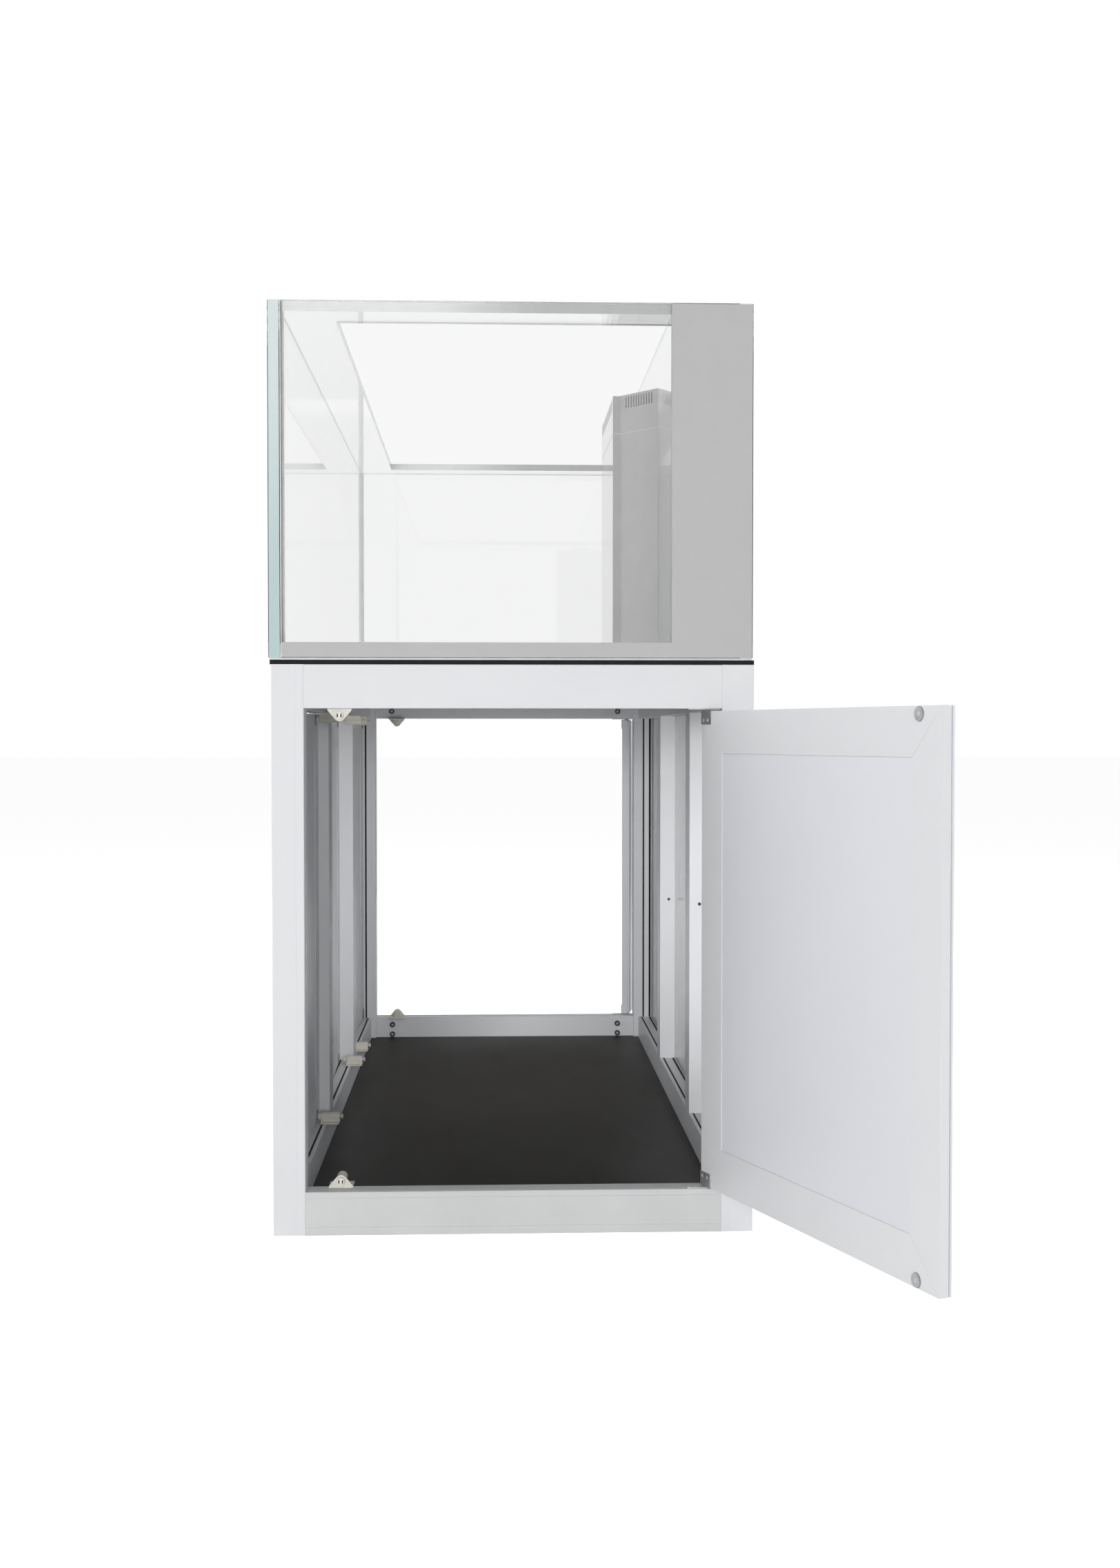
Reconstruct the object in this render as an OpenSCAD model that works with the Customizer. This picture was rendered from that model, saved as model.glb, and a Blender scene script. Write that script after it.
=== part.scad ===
// Rimless glass aquarium on an aluminium-profile stand with five touch-latch doors.
// Front is -Y, the two end doors are at +X (near) and -X (far), and Z = 0 is the floor.

/* [Stand] */
// Length of the stand and of the tank
stand_l = 1800; // [1500:10:2400]
// Depth of the stand from front to back
stand_w = 750; // [650:10:900]
// Height of the stand's frame
stand_h = 890; // [700:10:1000]
// Side of a square corner post
post = 50; // [45:1:60]
// Height of a horizontal rail
rail_h = 68; // [50:1:80]
// Depth of a horizontal rail
rail_d = 38; // [36:1:44]
// Width of the uprights between the bays
mullion_w = 68; // [50:1:90]
// Thickness of the floor board
floor_t = 18; // [12:1:18]
// Thickness of the board under the tank
board_t = 7; // [5:1:12]
// Thickness of the levelling mat
mat_t = 3; // [2:1:6]

/* [Tank] */
// Outside depth of the tank
tank_w = 752; // [700:1:760]
// How far the tank's middle sits in front of the stand's middle
tank_shift = 3; // [0:0.5:5]
// Outside height of the tank
tank_h = 550; // [450:10:700]
// Thickness of the glass panes
glass_t = 19; // [15:1:22]
// Thickness of the brace glass
brace_t = 15; // [10:1:19]
// Width of the braces along the front and the ends
brace_w = 80; // [60:1:100]
// Depth of the rear chamber, from the back of the tank to the chamber wall's front
chamber_d = 127; // [120:1:160]
// Thickness of the chamber wall
chamber_wall_t = 12; // [10:1:15]

/* [Weir] */
// How far the weir box stands out of the chamber wall
weir_out = 71; // [50:1:100]
// Distance from the near end of the tank to the weir box
weir_start = 245; // [150:5:600]
// Length of the weir box along the chamber wall
weir_l = 461; // [300:1:600]
// Height of the weir's top edge above the tank's underside
weir_h = 464; // [400:1:490]
// Pitch of the comb's teeth
comb_pitch = 6.4; // [6:0.1:9]

/* [Doors] */
// Rest opening of the near end door
near_open = 111; // [0:1:116]
// Rest opening of the far end door
far_open = 100; // [0:1:116]
// Rest opening of the middle and far front doors
ajar = 1.2; // [0:0.1:10]
// Thickness of a door
door_t = 19; // [17:1:20]
// Width of the door frame's profile
door_frame_w = 66; // [50:1:80]

/* [Hidden] */
$fn = 40;
eps = 0.01;

// Frame
half_l = stand_l / 2;
half_w = stand_w / 2;
wall_t = 4.5;                 // wall of a hollow profile
groove_depth = 2.5;
line_w = 1;                   // fine decorative line in an outer face
line_depth = 0.6;
outer_groove = [9.5, 5];      // distance of the groove's middle from the outer face, and its width
inner_groove = [30, 4];
post_groove = [25.5, 4];
end_groove = [7.25, 2.5];
seal_recess = 0.5;            // the seals lie this far below the face
chamfer = 1;
bay_w = (stand_l - 2 * post - 2 * mullion_w) / 3;
bay_pitch = bay_w + mullion_w;
opening_h = stand_h - 2 * rail_h;
end_opening = stand_w - 2 * post;
panel_t = 3;                  // fixed back panels
panel_set_in = 3;
white = [0.93, 0.93, 0.95];

// Frame screws, M8 socket caps in the end rails
screw_r = 4;
screw_head_r = 6.5;
screw_head_h = 8;
screw_from_post = 41;
screw_heights = [26, 50];
mullion_screw_r = 3;
mullion_screw_z = [419, 463];  // far and near back mullion

// Tank levels
board_z = stand_h;
mat_z = board_z + board_t;
tank_z = mat_z + mat_t;
tank_top = tank_z + tank_h;
tank_front = -tank_w / 2 - tank_shift;
tank_back = tank_w / 2 - tank_shift;
joint_t = 1.5;                // silicone between two panes
bead = 6;                     // silicone fillet inside
film_t = 0.4;
film_strip = 24;              // height of the film along the bottom of the end panes
chamber_front = tank_back - chamber_d;
floor_glass = tank_z + glass_t;
brace_z = tank_top - brace_t;
rear_brace_w = 30;
arris = 1.2;                  // ground edge of a pane

// Weir box: plan outline, near end at +X
weir_wall = 12;
weir_near = half_l - weir_start;
weir_far = weir_near - weir_l;
weir_slope = 75;              // length along X of each slanted side
weir_front = chamber_front - weir_out;
weir_top = tank_z + weir_h;
comb_h = 65;                  // height of the lift-out comb
comb_slot = 2.6;
comb_slot_h = 19;
comb_rim = 4;
passage_r = 37;               // holes from the weir box to the rear chamber
passage_z = 1000;
passage_pitch = 100;

// Bulkheads for 32 mm pipe
bulkhead_x = [480, 360, -640];
bulkhead_y = (tank_back - glass_t + chamber_front + chamber_wall_t) / 2;
pipe_r = 16.1;
bulkhead_r = 22;
bulkhead_hole_r = 23;
board_hole_r = 40;
flange_r = 35;
flange_h = 6;
gasket_h = 3;
nut_h = 12;
nut_r = 35;
bulkhead_low = tank_z - 38;

// Doors, in a frame with the pivot at X = 0, the free edge at +X and the outside at -Y
gap = 4;                      // at the hinge side, below and above
free_gap = 3.5;
pivot_in = 12;                // from the hinge edge to the pivot
half_t = door_t / 2;
sheet_t = 3;
reveal_t = 2;                 // recessed line behind the outer sheet
reveal_in = 3;
core_set_in = 0.8;            // the core lies this far below the frame's inner face
core_gap = 0.25;
door_low = rail_h + gap;
door_high = stand_h - rail_h - gap;
pin_r = 2.5;
pin_bore_r = 2.55;
pin_in_door = 10;
leaf_t = 1.5;
leaf_floor = 0.2;
screw_clear = 0.03;           // between a screw and the floor of its countersunk hole
leaf_l = 30;
leaf_h = 21;
leaf_w = 14;
strike_r = 10;
strike_t = 1.8;
strike_from_edge = 10.5;
catch_from_end = 53;          // from the opening's free side to the catch
catch_from_mullion = 56;

// Touch catches: the axis lies catch_axis above the rail's face
catch_axis = 11;
catch_front = 28 - half_t;    // from the pivot's plane to the body's front face
catch_len = 33;
catch_plate_w = 38;
catch_ring_r = 8.85;
catch_box_w = 15;
catch_web_h = 9;
catch_body_r = 7.9;
plunger_r = 6.2;
plunger_bore_r = 6.25;
plunger_gap = 0.3;
plunger_bore = 22;
plunger_in = 16;

// Each door: pivot x, pivot y, turn of its frame, 1 if mirrored, width of its opening,
// rest opening in degrees, and distance of its catch from the opening's free side
pivot_set = gap + pivot_in;
front_y = -(half_w - half_t);
DOORS = [
    [half_l - half_t, half_w - post - pivot_set, 90, 1, end_opening, near_open, catch_from_end],
    [-(half_l - half_t), half_w - post - pivot_set, -90, 0, end_opening, far_open, catch_from_end],
    [half_l - post - pivot_set, front_y, 0, 1, bay_w, 0, catch_from_mullion],
    [bay_w / 2 - pivot_set, front_y, 0, 1, bay_w, ajar, catch_from_mullion],
    [-(half_l - post - pivot_set), front_y, 0, 0, bay_w, ajar, catch_from_mullion]
];

// Puts a child that is drawn in a door's own frame at its closed place, turned by open degrees
module at_door(i, open = 0) {
    d = DOORS[i];
    translate([d[0], d[1], 0])
        rotate([0, 0, d[2] + (d[3] == 1 ? open : -open)])
            mirror([d[3], 0, 0])
                children();
}

// Distance from the pivot to the catch's axis, along the closed door
function catch_u(i) = DOORS[i][4] - pivot_set - DOORS[i][6];

// Puts a child that is drawn on the bottom rail's face on the bottom or the top rail
module at_level(top) {
    if (top) {
        translate([0, 0, stand_h]) mirror([0, 0, 1]) children();
    } else {
        children();
    }
}

// Square outline with small chamfers, from the origin
module chamfered(w, h, c = chamfer) {
    polygon([[c, 0], [w - c, 0], [w, c], [w, h - c], [w - c, h], [c, h], [0, h - c], [0, c]]);
}

// ---- Stand frame ----

// Section of a corner post, with its outer corner at [post, post]
module post_section() {
    difference() {
        chamfered(post, post);
        translate([wall_t, wall_t]) square(post - 2 * wall_t);
        for (g = [outer_groove, post_groove])
            translate([-eps, post - g[0] - g[1] / 2]) square([groove_depth + eps, g[1]]);
        for (g = [end_groove, post_groove])
            translate([post - g[0] - g[1] / 2, -eps]) square([g[1], groove_depth + eps]);
        translate([post - line_depth, 12]) square([line_depth + eps, line_w]);
        translate([12, post - line_depth]) square([line_w, line_depth + eps]);
    }
}

module corner_post(end, side) {
    color(white)
        mirror([end < 0 ? 1 : 0, 0, 0])
            mirror([0, side < 0 ? 1 : 0, 0])
                translate([half_l - post, half_w - post, 0])
                    linear_extrude(stand_h) post_section();
}

module post_front_near() corner_post(1, -1);
module post_front_far() corner_post(-1, -1);
module post_back_near() corner_post(1, 1);
module post_back_far() corner_post(-1, 1);

// Section of a bottom rail: the outer face is at X = rail_d and the bay's face at Y = rail_h
module rail_section(grooves) {
    difference() {
        chamfered(rail_d, rail_h, 0.8);
        translate([wall_t, wall_t]) square([rail_d - 2 * wall_t, rail_h - 2 * wall_t]);
        for (g = grooves)
            translate([rail_d - g[0] - g[1] / 2, rail_h - groove_depth])
                square([g[1], groove_depth + eps]);
        for (z = [12.5, rail_h - 9.5])
            translate([rail_d - line_depth, z]) square([line_depth + eps, line_w]);
    }
}

// Rail along X at the back, bottom; the other three are mirrored from it
module long_rail(side, top) {
    color(white)
        at_level(top)
            mirror([0, side < 0 ? 1 : 0, 0])
                translate([-half_l + post, half_w - rail_d, 0])
                    rotate([90, 0, 90])
                        linear_extrude(stand_l - 2 * post)
                            rail_section([outer_groove, inner_groove]);
}

module front_rail_bottom() long_rail(-1, false);
module front_rail_top() long_rail(-1, true);
module back_rail_bottom() long_rail(1, false);
module back_rail_top() long_rail(1, true);

// Puts a child drawn at the origin on each screw's axis, pointing into the near end rail
module at_screws() {
    for (side = [-1, 1], z = screw_heights)
        translate([half_l - rail_d, side * (end_opening / 2 - screw_from_post), z])
            rotate([0, 90, 0]) children();
}

// Rail along Y at the near end, bottom
module end_rail(end, top) {
    color(white)
        at_level(top)
            mirror([end < 0 ? 1 : 0, 0, 0])
                difference() {
                    translate([half_l - rail_d, end_opening / 2, 0])
                        rotate([90, 0, 0])
                            linear_extrude(end_opening) rail_section([end_groove]);
                    at_screws() translate([0, 0, -1]) cylinder(r = screw_r + 0.2, h = wall_t + 2);
                }
}

module end_rail_near_bottom() end_rail(1, false);
module end_rail_near_top() end_rail(1, true);
module end_rail_far_bottom() end_rail(-1, false);
module end_rail_far_top() end_rail(-1, true);

// Upright between two bays, centred on X = 0, at the back
module mullion() {
    translate([-mullion_w / 2, half_w - rail_d, rail_h])
        linear_extrude(opening_h)
            difference() {
                chamfered(mullion_w, rail_d, 0.8);
                translate([wall_t, wall_t])
                    square([mullion_w - 2 * wall_t, rail_d - 2 * wall_t]);
            }
}

module mullions(side) {
    color(white)
        for (s = [-1, 1])
            translate([s * bay_pitch / 2, 0, 0])
                mirror([0, side < 0 ? 1 : 0, 0]) mullion();
}

module front_mullions() mullions(-1);
module back_mullions() mullions(1);

module back_panels() {
    color([0.85, 0.86, 0.88])
        for (b = [-1, 0, 1])
            translate([b * bay_pitch - bay_w / 2, half_w - panel_set_in - panel_t, rail_h])
                cube([bay_w, panel_t, opening_h]);
}

module floor_board() {
    room = 0.5;
    notch = post - rail_d + room;
    color([0.16, 0.15, 0.14])
        difference() {
            translate([-half_l + rail_d + room, -half_w + rail_d + room, 0])
                cube([stand_l - 2 * (rail_d + room), stand_w - 2 * (rail_d + room), floor_t]);
            for (sx = [-1, 1], sy = [-1, 1])
                translate([sx * (half_l - rail_d), sy * (half_w - rail_d), floor_t / 2])
                    cube([2 * notch, 2 * notch, floor_t + 2], center = true);
        }
}

module top_board() {
    color([0.05, 0.05, 0.05])
        difference() {
            translate([-half_l, tank_front + 2, board_z]) cube([stand_l, tank_w, board_t]);
            for (x = bulkhead_x)
                translate([x, bulkhead_y, board_z - 1]) cylinder(r = board_hole_r, h = board_t + 2);
        }
}

module levelling_mat() {
    color([0.9, 0.9, 0.9])
        difference() {
            translate([-half_l + 1, tank_front + 1.5, mat_z]) cube([stand_l - 2, tank_w - 3, mat_t]);
            for (x = bulkhead_x)
                translate([x, bulkhead_y, mat_z - 1]) cylinder(r = board_hole_r, h = mat_t + 2);
        }
}

// Socket cap screw, its head's seat at the origin and its shank along +Z
module cap_screw() {
    difference() {
        translate([0, 0, -screw_head_h]) cylinder(r = screw_head_r, h = screw_head_h);
        translate([0, 0, -screw_head_h - 1]) cylinder(r = 3.5, h = 5, $fn = 6);
    }
    cylinder(r = screw_r, h = wall_t + 10);
}

module frame_screws() {
    color([0.12, 0.12, 0.12]) {
        for (end = [0, 1], top = [false, true])
            at_level(top) mirror([end, 0, 0]) at_screws() cap_screw();
        for (m = [[-1, mullion_screw_z[0]], [1, mullion_screw_z[1]]])
            translate([m[0] * bay_pitch / 2 + mullion_w / 2, half_w - rail_d / 2, m[1]])
                rotate([0, 90, 0]) cylinder(r = mullion_screw_r, h = 1.6);
    }
}

// Rubber strips in the grooves of the long rails, along one bay of the back, centred on X = 0
module rail_seals() {
    for (g = [outer_groove, inner_groove], top = [false, true])
        at_level(top)
            translate([-bay_w / 2, half_w - g[0] - g[1] / 2, rail_h - groove_depth])
                cube([bay_w, g[1], groove_depth - seal_recess]);
}

// Upright rubber strips in the bay side of the near back post
module post_seals() {
    for (g = [outer_groove, post_groove])
        translate([half_l - post + seal_recess, half_w - g[0] - g[1] / 2, rail_h])
            cube([groove_depth - seal_recess, g[1], opening_h]);
}

// Rubber strips in the grooves round the near end's opening
module end_seals() {
    depth = groove_depth - seal_recess;
    for (top = [false, true])
        at_level(top)
            translate([half_l - end_groove[0] - end_groove[1] / 2, -end_opening / 2,
                       rail_h - groove_depth])
                cube([end_groove[1], end_opening, depth]);
    for (side = [0, 1], g = [end_groove, post_groove])
        mirror([0, side, 0])
            translate([half_l - g[0] - g[1] / 2, end_opening / 2 + seal_recess, rail_h])
                cube([g[1], depth, opening_h]);
}

module groove_seals() {
    color([0.04, 0.04, 0.04]) {
        for (side = [0, 1])
            mirror([0, side, 0]) {
                for (b = [-1, 0, 1])
                    translate([b * bay_pitch, 0, 0]) rail_seals();
                for (end = [0, 1])
                    mirror([end, 0, 0]) post_seals();
            }
        for (end = [0, 1])
            mirror([end, 0, 0]) end_seals();
    }
}

// ---- Hinges and catches ----

// Head of a slotted countersunk screw, with its low end at Z = 0
module sunk_screw(low_r, high_r, h) {
    slot = [1.45 * high_r, 0.8];
    slot_floor = 0.1;
    difference() {
        cylinder(r1 = low_r, r2 = high_r, h = h);
        translate([-slot[0] / 2, -slot[1] / 2, slot_floor]) cube([slot[0], slot[1], h]);
    }
}

// Countersunk hole in a hinge leaf, and the screw that fills it
module leaf_hole() {
    translate([0, 0, leaf_floor]) cylinder(r1 = 1.8, r2 = 3.4, h = leaf_t);
}

module leaf_screw() {
    translate([0, 0, leaf_floor + screw_clear]) sunk_screw(1.7, 2.65, leaf_t - leaf_floor - 0.4);
}

// Fixed half of a pivot hinge on the bottom rail: leaf, washer, pin and two screws
module pivot_leaf() {
    screws = [18.5, 28.5];
    washer_r = 4.5;
    difference() {
        translate([-pivot_in - 2, -leaf_w / 2, rail_h]) cube([50, leaf_w, leaf_t]);
        for (x = screws)
            translate([x, 0, rail_h]) leaf_hole();
    }
    for (x = screws)
        translate([x, 0, rail_h]) leaf_screw();
    translate([0, 0, rail_h + leaf_t]) cylinder(r = washer_r, h = gap - 2 * leaf_t);
    translate([0, 0, rail_h + leaf_t]) cylinder(r = pin_r, h = gap - leaf_t + pin_in_door);
}

module hinge_pivots() {
    color([0.72, 0.73, 0.74])
        for (i = [0:4], top = [false, true])
            at_door(i) at_level(top) pivot_leaf();
}

// Body of a touch catch on the bottom rail's face, in a door's frame, with the axis at X = 0
module catch_body() {
    plate_t = 2.4;
    face_t = 3.5;
    shoulder = [7.2, 16.2];
    half_plate = catch_plate_w / 2;
    half_box = catch_box_w / 2;
    screw_at = 14;
    neck = [2, 5];
    button = [4.5, 3];
    seam_z = 4.5;
    translate([0, catch_front, rail_h])
        difference() {
            union() {
                translate([0, face_t, 0])
                    rotate([90, 0, 0])
                        linear_extrude(face_t) {
                            polygon([
                                [-half_plate, 0], [half_plate, 0], [half_plate, plate_t],
                                [shoulder[0], shoulder[1]], [-shoulder[0], shoulder[1]],
                                [-half_plate, plate_t]
                            ]);
                            translate([0, catch_axis]) circle(r = catch_ring_r);
                        }
                translate([-half_plate, 0, 0]) cube([catch_plate_w, catch_len, plate_t]);
                translate([-half_box, 0, 0]) cube([catch_box_w, catch_len, catch_web_h]);
                translate([0, 0, catch_axis]) rotate([-90, 0, 0]) cylinder(r = catch_body_r, h = catch_len);
                translate([0, catch_len - 1, catch_axis])
                    rotate([-90, 0, 0]) cylinder(r = neck[0], h = neck[1]);
                translate([0, catch_len + 3, catch_axis])
                    rotate([-90, 0, 0]) cylinder(r = button[0], h = button[1]);
            }
            translate([0, -1, catch_axis])
                rotate([-90, 0, 0]) cylinder(r = plunger_bore_r, h = plunger_bore + 1);
            for (s = [-1, 1]) {
                translate([s * screw_at, catch_len / 2, plate_t / 2]) cylinder(r1 = 1.6, r2 = 3.2, h = 1.4);
                translate([s * half_box, catch_len / 2, seam_z])
                    cube([0.9, catch_len - 10, 0.8], center = true);
            }
        }
}

module catch_bodies() {
    color([0.88, 0.87, 0.8])
        for (i = [0:4], top = [false, true])
            at_door(i) at_level(top) translate([catch_u(i), 0, 0]) catch_body();
}

// Sprung plunger with two magnet poles in its face; its tip stands just clear of the strike
module plunger(i, top) {
    tip = half_t + strike_t + plunger_gap;
    length = catch_front - tip + plunger_in;
    slot_x = 2.9;
    slot_r = 1;
    slot_half = 2;
    slot_h = 1.9;
    color([0.93, 0.92, 0.86])
        at_door(i) at_level(top)
            translate([catch_u(i), tip, rail_h + catch_axis])
                rotate([-90, 0, 0])
                    difference() {
                        union() {
                            cylinder(r1 = plunger_r - 0.6, r2 = plunger_r, h = 0.6);
                            translate([0, 0, 0.6]) cylinder(r = plunger_r, h = length - 0.6);
                        }
                        for (s = [-1, 1])
                            translate([s * slot_x, 0, -1]) {
                                translate([-slot_r, -slot_half, 0]) cube([2 * slot_r, 2 * slot_half, slot_h]);
                                for (e = [-1, 1])
                                    translate([0, e * slot_half, 0]) cylinder(r = slot_r, h = slot_h);
                            }
                    }
}

module near_plunger_bottom() plunger(0, false);
module near_plunger_top() plunger(0, true);
module far_plunger_bottom() plunger(1, false);
module far_plunger_top() plunger(1, true);
module plunger_a_bottom() plunger(2, false);
module plunger_a_top() plunger(2, true);
module plunger_b_bottom() plunger(3, false);
module plunger_b_top() plunger(3, true);
module plunger_c_bottom() plunger(4, false);
module plunger_c_top() plunger(4, true);

// ---- Doors ----

function door_w(i) = DOORS[i][4] - gap - free_gap;

// Upright plate in a door's frame, from one Y to another, inset from the door's outline
module door_slab(i, inset, y0, y1) {
    translate([-pivot_in + inset, y0, door_low + inset])
        cube([door_w(i) - 2 * inset, y1 - y0, door_high - door_low - 2 * inset]);
}

// Mitred profile frame with hairline joints at its corners and a pin bore at each end
module door_frame(i) {
    back = half_t;
    front = -half_t + sheet_t + reveal_t;
    hair = 0.5;
    color(white)
        at_door(i, DOORS[i][5])
            difference() {
                door_slab(i, 0, front, back);
                door_slab(i, door_frame_w, front - 1, back + 1);
                for (top = [false, true])
                    at_level(top)
                        translate([0, 0, door_low - 1])
                            cylinder(r = pin_bore_r, h = pin_in_door + 3);
                for (top = [false, true], s = [0, 1])
                    at_level(top)
                        translate([s == 0 ? -pivot_in : -pivot_in + door_w(i), back, door_low])
                            rotate([0, s == 0 ? -45 : -135, 0])
                                translate([-2, -hair, -hair / 2])
                                    cube([door_frame_w * sqrt(2) + 4, 2 * hair, hair]);
            }
}

// Outer sheet, recessed reveal and core of a door, bonded into one panel
module door_panel(i) {
    front = -half_t;
    color([0.9, 0.9, 0.93])
        at_door(i, DOORS[i][5]) {
            door_slab(i, 0, front, front + sheet_t);
            door_slab(i, reveal_in, front + sheet_t - eps, front + sheet_t + reveal_t);
            door_slab(i, door_frame_w + core_gap, front + sheet_t, half_t - core_set_in);
        }
}

// Strike disc for a catch's plunger, with its screw
module strike() {
    hole_depth = 1.2;
    difference() {
        cylinder(r1 = strike_r, r2 = strike_r - 0.6, h = strike_t);
        translate([0, 0, strike_t - hole_depth]) cylinder(r1 = 2.6, r2 = 3.9, h = hole_depth + 0.1);
    }
    translate([0, 0, strike_t - hole_depth + screw_clear]) sunk_screw(2.5, 3.4, hole_depth - 0.2);
}

// Moving leaf of a pivot hinge: it wraps the corner of the door and has a bore for the pin
module door_leaf() {
    screws = [-5, 10];
    screw_z = door_low + 14;
    difference() {
        union() {
            translate([-pivot_in, half_t, door_low - leaf_t]) cube([leaf_l, leaf_t, leaf_h + leaf_t]);
            translate([-pivot_in, -leaf_w / 2, door_low - leaf_t])
                cube([leaf_l, leaf_w / 2 + half_t + leaf_t, leaf_t]);
        }
        translate([0, 0, door_low - 5]) cylinder(r = pin_bore_r, h = 8);
        for (x = screws)
            translate([x, half_t, screw_z]) rotate([-90, 0, 0]) leaf_hole();
    }
    for (x = screws)
        translate([x, half_t, screw_z]) rotate([-90, 0, 0]) leaf_screw();
}

// Two strike discs and the two moving hinge leaves of a door, and their screws
module door_hardware(i) {
    color([0.7, 0.71, 0.72])
        at_door(i, DOORS[i][5])
            for (top = [false, true])
                at_level(top) {
                    translate([catch_u(i), half_t, door_low + strike_from_edge])
                        rotate([-90, 0, 0]) strike();
                    door_leaf();
                }
}

module near_door_frame() door_frame(0);
module near_door_panel() door_panel(0);
module near_door_hardware() door_hardware(0);
module far_door_frame() door_frame(1);
module far_door_panel() door_panel(1);
module far_door_hardware() door_hardware(1);
module front_door_a_frame() door_frame(2);
module front_door_a_panel() door_panel(2);
module front_door_a_hardware() door_hardware(2);
module front_door_b_frame() door_frame(3);
module front_door_b_panel() door_panel(3);
module front_door_b_hardware() door_hardware(3);
module front_door_c_frame() door_frame(4);
module front_door_c_panel() door_panel(4);
module front_door_c_hardware() door_hardware(4);

// ---- Tank ----

glass_tint = [0.78, 0.9, 0.9, 0.5];

// Upright pane along X with ground edges all round its front and back faces
module long_pane(y) {
    color(glass_tint)
        translate([-half_l, y, tank_z])
            intersection() {
                linear_extrude(tank_h) chamfered(stand_l, glass_t, arris);
                rotate([90, 0, 90]) linear_extrude(stand_l) chamfered(glass_t, tank_h, arris);
            }
}

module front_pane() long_pane(tank_front);
module back_pane() long_pane(tank_back - glass_t);

module end_panes() {
    y0 = tank_front + glass_t + joint_t;
    y1 = tank_back - glass_t - joint_t;
    color(glass_tint)
        for (end = [0, 1])
            mirror([end, 0, 0])
                translate([half_l - glass_t, y0, tank_z])
                    rotate([90, 0, 90])
                        linear_extrude(glass_t) chamfered(y1 - y0, tank_h, arris);
}

module bottom_pane() {
    x = half_l - glass_t - joint_t;
    y0 = tank_front + glass_t + joint_t;
    y1 = tank_back - glass_t - joint_t;
    color(glass_tint)
        difference() {
            translate([-x, y0, tank_z]) cube([2 * x, y1 - y0, glass_t]);
            for (bx = bulkhead_x)
                translate([bx, bulkhead_y, tank_z - 1]) cylinder(r = bulkhead_hole_r, h = glass_t + 2);
        }
}

module chamber_wall() {
    x = half_l - glass_t - 1;
    weir_mid = (weir_near + weir_far) / 2;
    color(glass_tint)
        difference() {
            translate([-x, chamber_front, floor_glass])
                cube([2 * x, chamber_wall_t, brace_z - floor_glass]);
            for (k = [-1, 0, 1])
                translate([weir_mid + k * passage_pitch, chamber_front - 1, passage_z])
                    rotate([-90, 0, 0]) cylinder(r = passage_r, h = chamber_wall_t + 2);
        }
}

module braces() {
    x = half_l - glass_t;
    y0 = tank_front + glass_t;
    y1 = tank_back - glass_t;
    color(glass_tint) {
        translate([-x, y0, brace_z]) cube([2 * x, brace_w, brace_t]);
        translate([-x, y1 - rear_brace_w, brace_z]) cube([2 * x, rear_brace_w, brace_t]);
        for (end = [0, 1])
            mirror([end, 0, 0])
                translate([x - brace_w, y0 + brace_w, brace_z])
                    cube([brace_w, y1 - y0 - brace_w - rear_brace_w, brace_t]);
    }
}

// Silicone between the panes, with a fillet along every inner corner
module silicone_joints() {
    x = half_l - glass_t;
    y0 = tank_front + glass_t;
    y1 = tank_back - glass_t;
    color([0.25, 0.25, 0.25]) {
        for (end = [0, 1], side = [[y0, 1], [y1, -1]])
            mirror([end, 0, 0])
                translate([x, side[0], 0])
                    scale([1, side[1], 1]) {
                        translate([0, 0, tank_z]) cube([glass_t, joint_t, tank_h]);
                        translate([0, 0, floor_glass])
                            linear_extrude(brace_z - floor_glass)
                                polygon([[0, 0], [-bead, 0], [0, bead]]);
                    }
        for (side = [[y0, 1], [y1, -1]])
            translate([-x, side[0], tank_z])
                scale([1, side[1], 1]) {
                    cube([2 * x, joint_t, glass_t]);
                    translate([0, 0, glass_t])
                        rotate([90, 0, 90])
                            linear_extrude(2 * x) polygon([[0, 0], [bead, 0], [0, bead]]);
                }
        for (end = [0, 1])
            mirror([end, 0, 0]) {
                translate([x - joint_t, y0 + joint_t, tank_z])
                    cube([joint_t, y1 - y0 - 2 * joint_t, glass_t]);
                translate([x, y1, floor_glass])
                    rotate([90, 0, 0])
                        linear_extrude(tank_back - glass_t - chamber_front - chamber_wall_t - eps)
                            polygon([[0, 0], [-joint_t, 0], [0, joint_t]]);
                translate([x, chamber_front, floor_glass])
                    rotate([90, 0, 0])
                        linear_extrude(chamber_front - y0) polygon([[0, 0], [-bead, 0], [0, bead]]);
            }
    }
}

// Opaque film on the end panes: a band over the rear chamber and a strip along the bottom
module edge_film() {
    color([0.72, 0.72, 0.72])
        for (end = [0, 1])
            mirror([end, 0, 0])
                translate([half_l, 0, 0])
                    rotate([90, 0, 90])
                        linear_extrude(film_t)
                            polygon([
                                [tank_front + glass_t + joint_t, tank_z + arris],
                                [tank_back - arris, tank_z + arris],
                                [tank_back - arris, tank_top - arris],
                                [chamber_front, tank_top - arris],
                                [chamber_front, tank_z + film_strip],
                                [tank_front + glass_t + joint_t, tank_z + film_strip]
                            ]);
}

// ---- Weir ----

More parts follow.
